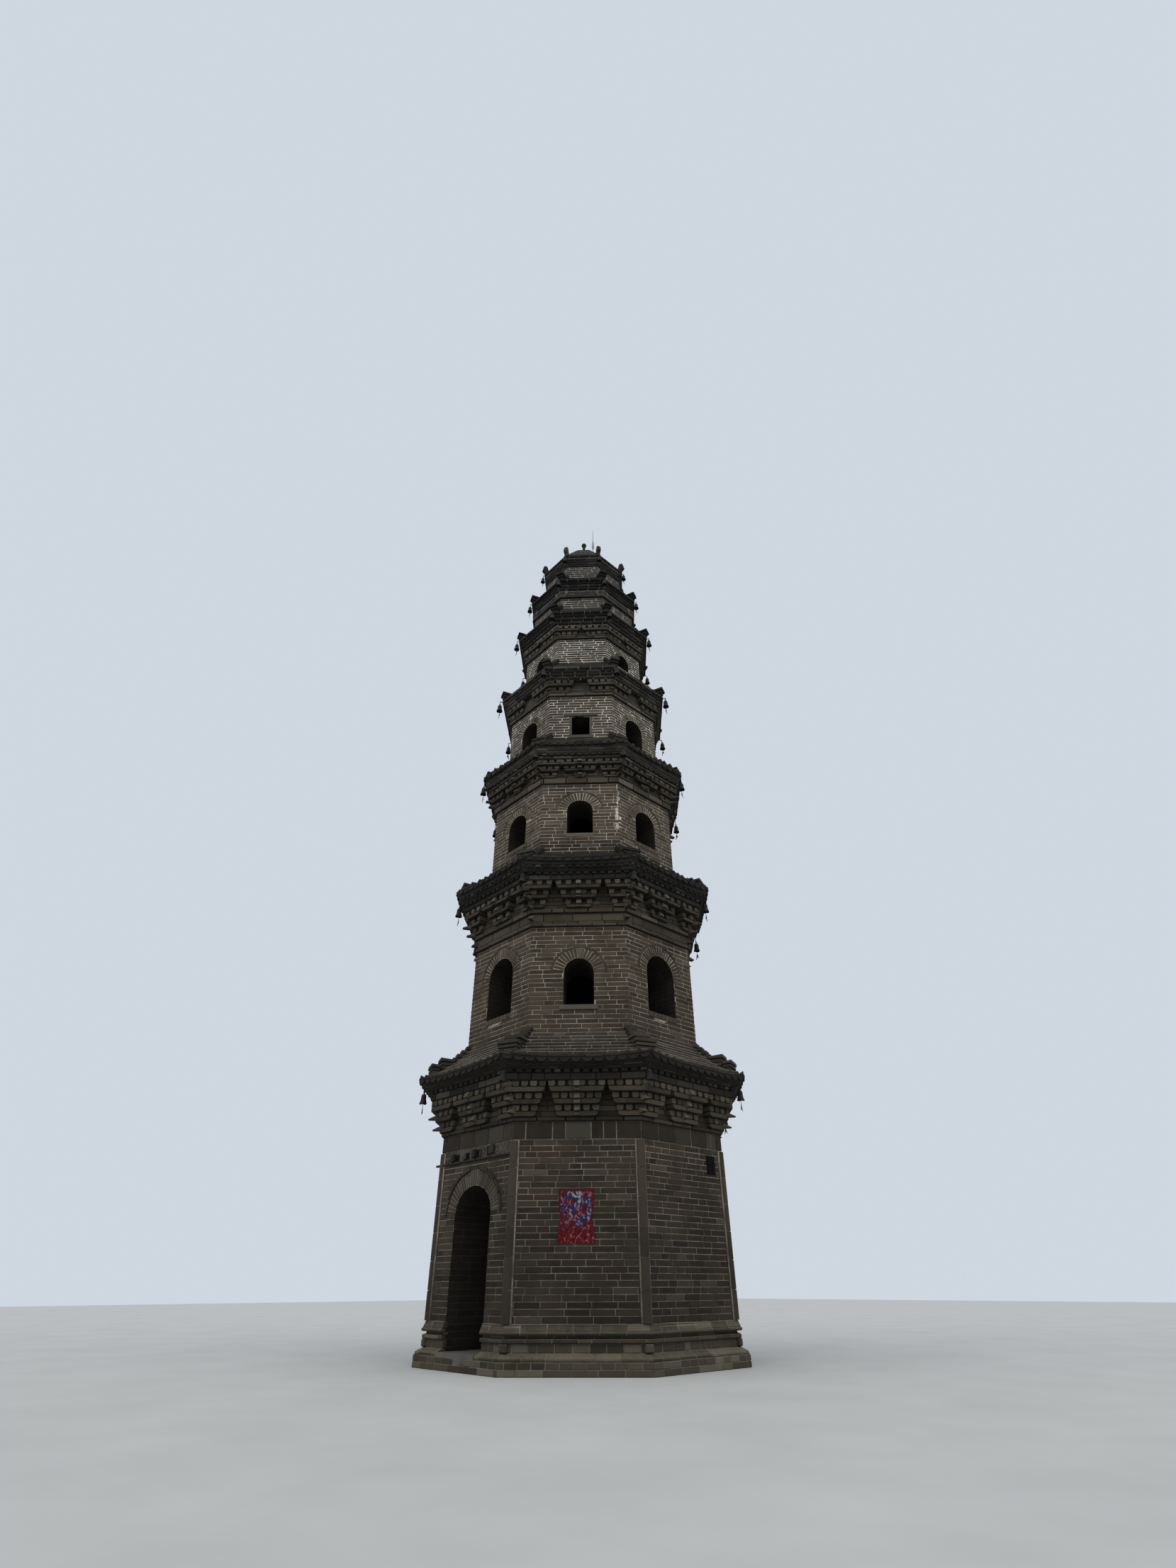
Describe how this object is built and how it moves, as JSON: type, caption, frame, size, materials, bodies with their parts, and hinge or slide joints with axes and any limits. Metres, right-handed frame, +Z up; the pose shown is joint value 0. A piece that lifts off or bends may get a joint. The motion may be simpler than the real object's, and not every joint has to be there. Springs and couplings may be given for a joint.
{
  "type": "brick pagoda",
  "caption": "Octagonal seven-storey brick pagoda with bracketed eaves, arched openings, wind bells, a domed top and a lightning rod.",
  "frame": {"origin": "on the tower's axis at ground level, the middle of the plinth's underside", "axes": "+Z up the tower, -Y out of the doorway, +X to the right of someone facing the doorway"},
  "size_m": [5.8574, 5.8574, 21.68],
  "materials": {
    "brick": "weathered grey-brown brick with pale mortar, dusty and matt",
    "dark_brick": "soot-dark fired brick and moulded brick, matt",
    "stone": "light grey dressed stone, matt",
    "timber": "old dry boards, matt",
    "iron": "black weathered iron",
    "steel": "dull galvanised steel"
  },
  "bodies": {
    "tower": {"plinth": "brick", "ground_floor": "brick", "pedestal_base": "brick", "pedestal_cap": "brick", "wall_1_door": "brick", "wall_1_front_right": "brick", "wall_1_rear": "brick", "columns_and_frieze": "brick", "doorstep": "stone", "floor_2": "timber", "wall_2_front": "brick", "wall_2_rear": "brick", "floor_3": "timber", "wall_3_front": "brick", "wall_3_rear": "brick", "floor_4": "timber", "wall_4_front": "brick", "wall_4_rear": "brick", "floor_5": "timber", "wall_5_front": "brick", "wall_5_rear": "brick", "wall_6": "brick", "wall_7": "brick", "brackets_1": "dark_brick", "brackets_2": "dark_brick", "brackets_3": "dark_brick", "brackets_4": "dark_brick", "brackets_5": "dark_brick", "brackets_6": "dark_brick", "cornice_1": "dark_brick", "cornice_2": "dark_brick", "cornice_3": "dark_brick", "roof_1": "brick", "roof_2": "brick", "roof_3": "brick", "roof_4": "brick", "roof_5": "brick", "roof_6": "brick", "eave_7": "dark_brick", "dome": "dark_brick", "finial": "stone", "lightning_rod": "steel"},
    "bell_1_body": {"bell_1": "iron"},
    "bell_2_body": {"bell_2": "iron"},
    "bell_3_body": {"bell_3": "iron"},
    "bell_4_body": {"bell_4": "iron"},
    "bell_5_body": {"bell_5": "iron"},
    "bell_6_body": {"bell_6": "iron"},
    "bell_7_body": {"bell_7": "iron"},
    "bell_8_body": {"bell_8": "iron"}
  },
  "joints": [
    {"name": "bell_1_swing", "type": "hinge", "parent": "tower", "child": "bell_1_body", "pos_m": [1.17101, -2.82707, 3.885], "axis": [0.9239, 0.3827, 0], "range_deg": [-20, 20]},
    {"name": "bell_2_swing", "type": "hinge", "parent": "tower", "child": "bell_2_body", "pos_m": [2.82707, -1.17101, 3.885], "axis": [0.3827, 0.9239, 0], "range_deg": [-20, 20]},
    {"name": "bell_3_swing", "type": "hinge", "parent": "tower", "child": "bell_3_body", "pos_m": [2.82707, 1.17101, 3.885], "axis": [-0.3827, 0.9239, 0], "range_deg": [-20, 20]},
    {"name": "bell_4_swing", "type": "hinge", "parent": "tower", "child": "bell_4_body", "pos_m": [1.17101, 2.82707, 3.885], "axis": [-0.9239, 0.3827, 0], "range_deg": [-20, 20]},
    {"name": "bell_5_swing", "type": "hinge", "parent": "tower", "child": "bell_5_body", "pos_m": [-1.17101, 2.82707, 3.885], "axis": [-0.9239, -0.3827, 0], "range_deg": [-20, 20]},
    {"name": "bell_6_swing", "type": "hinge", "parent": "tower", "child": "bell_6_body", "pos_m": [-2.82707, 1.17101, 3.885], "axis": [-0.3827, -0.9239, 0], "range_deg": [-20, 20]},
    {"name": "bell_7_swing", "type": "hinge", "parent": "tower", "child": "bell_7_body", "pos_m": [-2.82707, -1.17101, 3.885], "axis": [0.3827, -0.9239, 0], "range_deg": [-20, 20]},
    {"name": "bell_8_swing", "type": "hinge", "parent": "tower", "child": "bell_8_body", "pos_m": [-1.17101, -2.82707, 3.885], "axis": [0.9239, -0.3827, 0], "range_deg": [-20, 20]}
  ]
}
